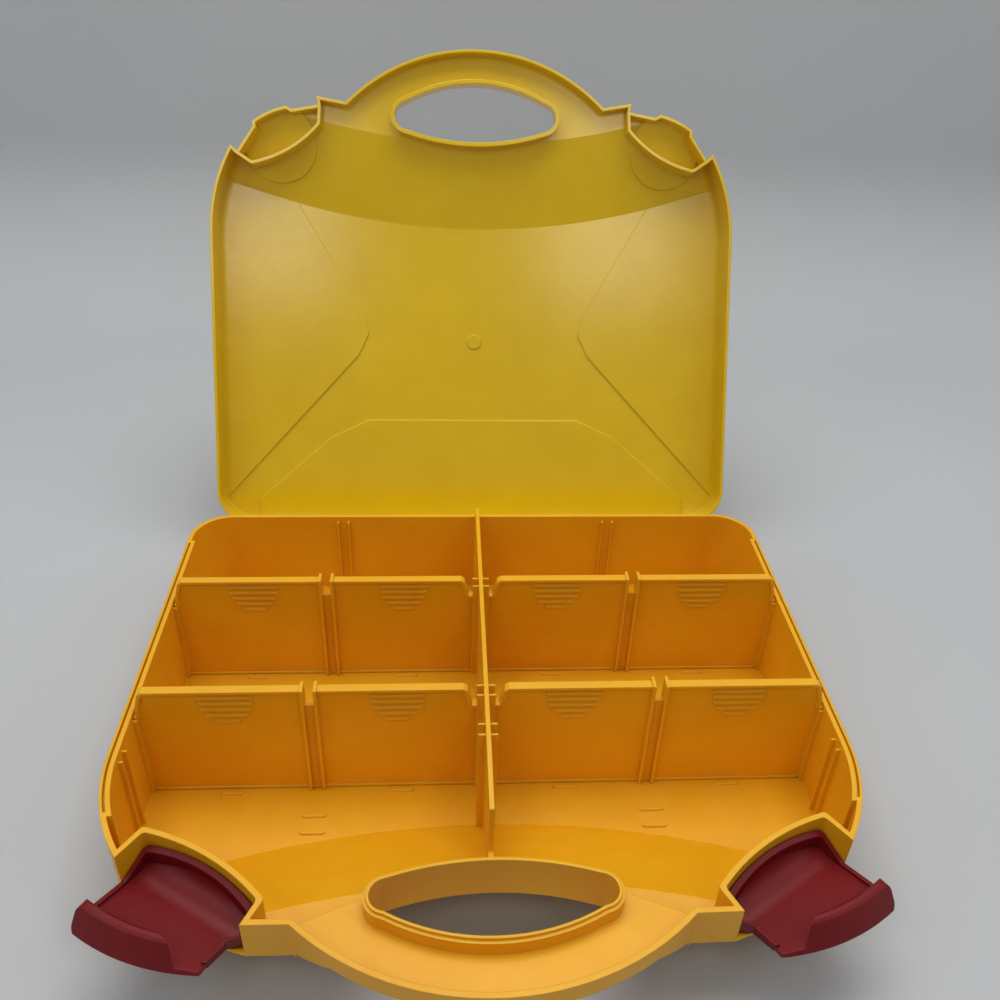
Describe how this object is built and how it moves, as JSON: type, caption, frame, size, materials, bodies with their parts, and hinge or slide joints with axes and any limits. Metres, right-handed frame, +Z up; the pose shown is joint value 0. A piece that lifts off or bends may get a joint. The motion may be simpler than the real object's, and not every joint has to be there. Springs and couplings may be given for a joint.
{
  "type": "compartment carrying case",
  "caption": "Plastic carrying case with a divided tray, loose dividers, a hinged lid that closes over it, corner latches and a carrying handle formed in both halves",
  "frame": {"origin": "middle of the width on the flat underside of the tray, the case standing on the plane z = 0", "axes": "+X to the right seen from the handle side, +Y from the handle towards the hinge, +Z up"},
  "size_m": [0.35, 0.4907, 0.3044],
  "materials": {
    "tray_plastic": "moulded orange-yellow plastic, satin gloss",
    "lid_plastic": "moulded olive-yellow plastic, glossy and very slightly translucent",
    "latch_plastic": "moulded dark red plastic, satin"
  },
  "bodies": {
    "tray": {"base_tray": "tray_plastic"},
    "lid": {"lid": "lid_plastic"},
    "latch_right": {"latch_right": "latch_plastic"},
    "latch_left": {"latch_left": "latch_plastic"},
    "divider_back_right": {"divider_back_right": "tray_plastic"},
    "divider_back_left": {"divider_back_left": "tray_plastic"},
    "divider_front_right": {"divider_front_right": "tray_plastic"},
    "divider_front_left": {"divider_front_left": "tray_plastic"}
  },
  "joints": [
    {"name": "lid_hinge", "type": "hinge", "parent": "tray", "child": "lid", "pos_m": [0, 0.1028, 0.0313], "axis": [-1, 0, 0], "range_deg": [-116.15, 0]},
    {"name": "latch_right_hinge", "type": "hinge", "parent": "tray", "child": "latch_right", "pos_m": [0.1266, -0.16395, 0.0522], "axis": [0.847, 0.5316, 0], "range_deg": [-78.7, 0]},
    {"name": "latch_left_hinge", "type": "hinge", "parent": "tray", "child": "latch_left", "pos_m": [-0.1266, -0.16395, 0.0522], "axis": [0.847, -0.5316, 0], "range_deg": [-78.7, 0]},
    {"name": "divider_back_right_lift", "type": "slide", "parent": "tray", "child": "divider_back_right", "axis": [0, 0, 1], "range_m": [0, 0.075]},
    {"name": "divider_back_left_lift", "type": "slide", "parent": "tray", "child": "divider_back_left", "axis": [0, 0, 1], "range_m": [0, 0.075]},
    {"name": "divider_front_right_lift", "type": "slide", "parent": "tray", "child": "divider_front_right", "axis": [0, 0, 1], "range_m": [0, 0.075]},
    {"name": "divider_front_left_lift", "type": "slide", "parent": "tray", "child": "divider_front_left", "axis": [0, 0, 1], "range_m": [0, 0.075]}
  ]
}
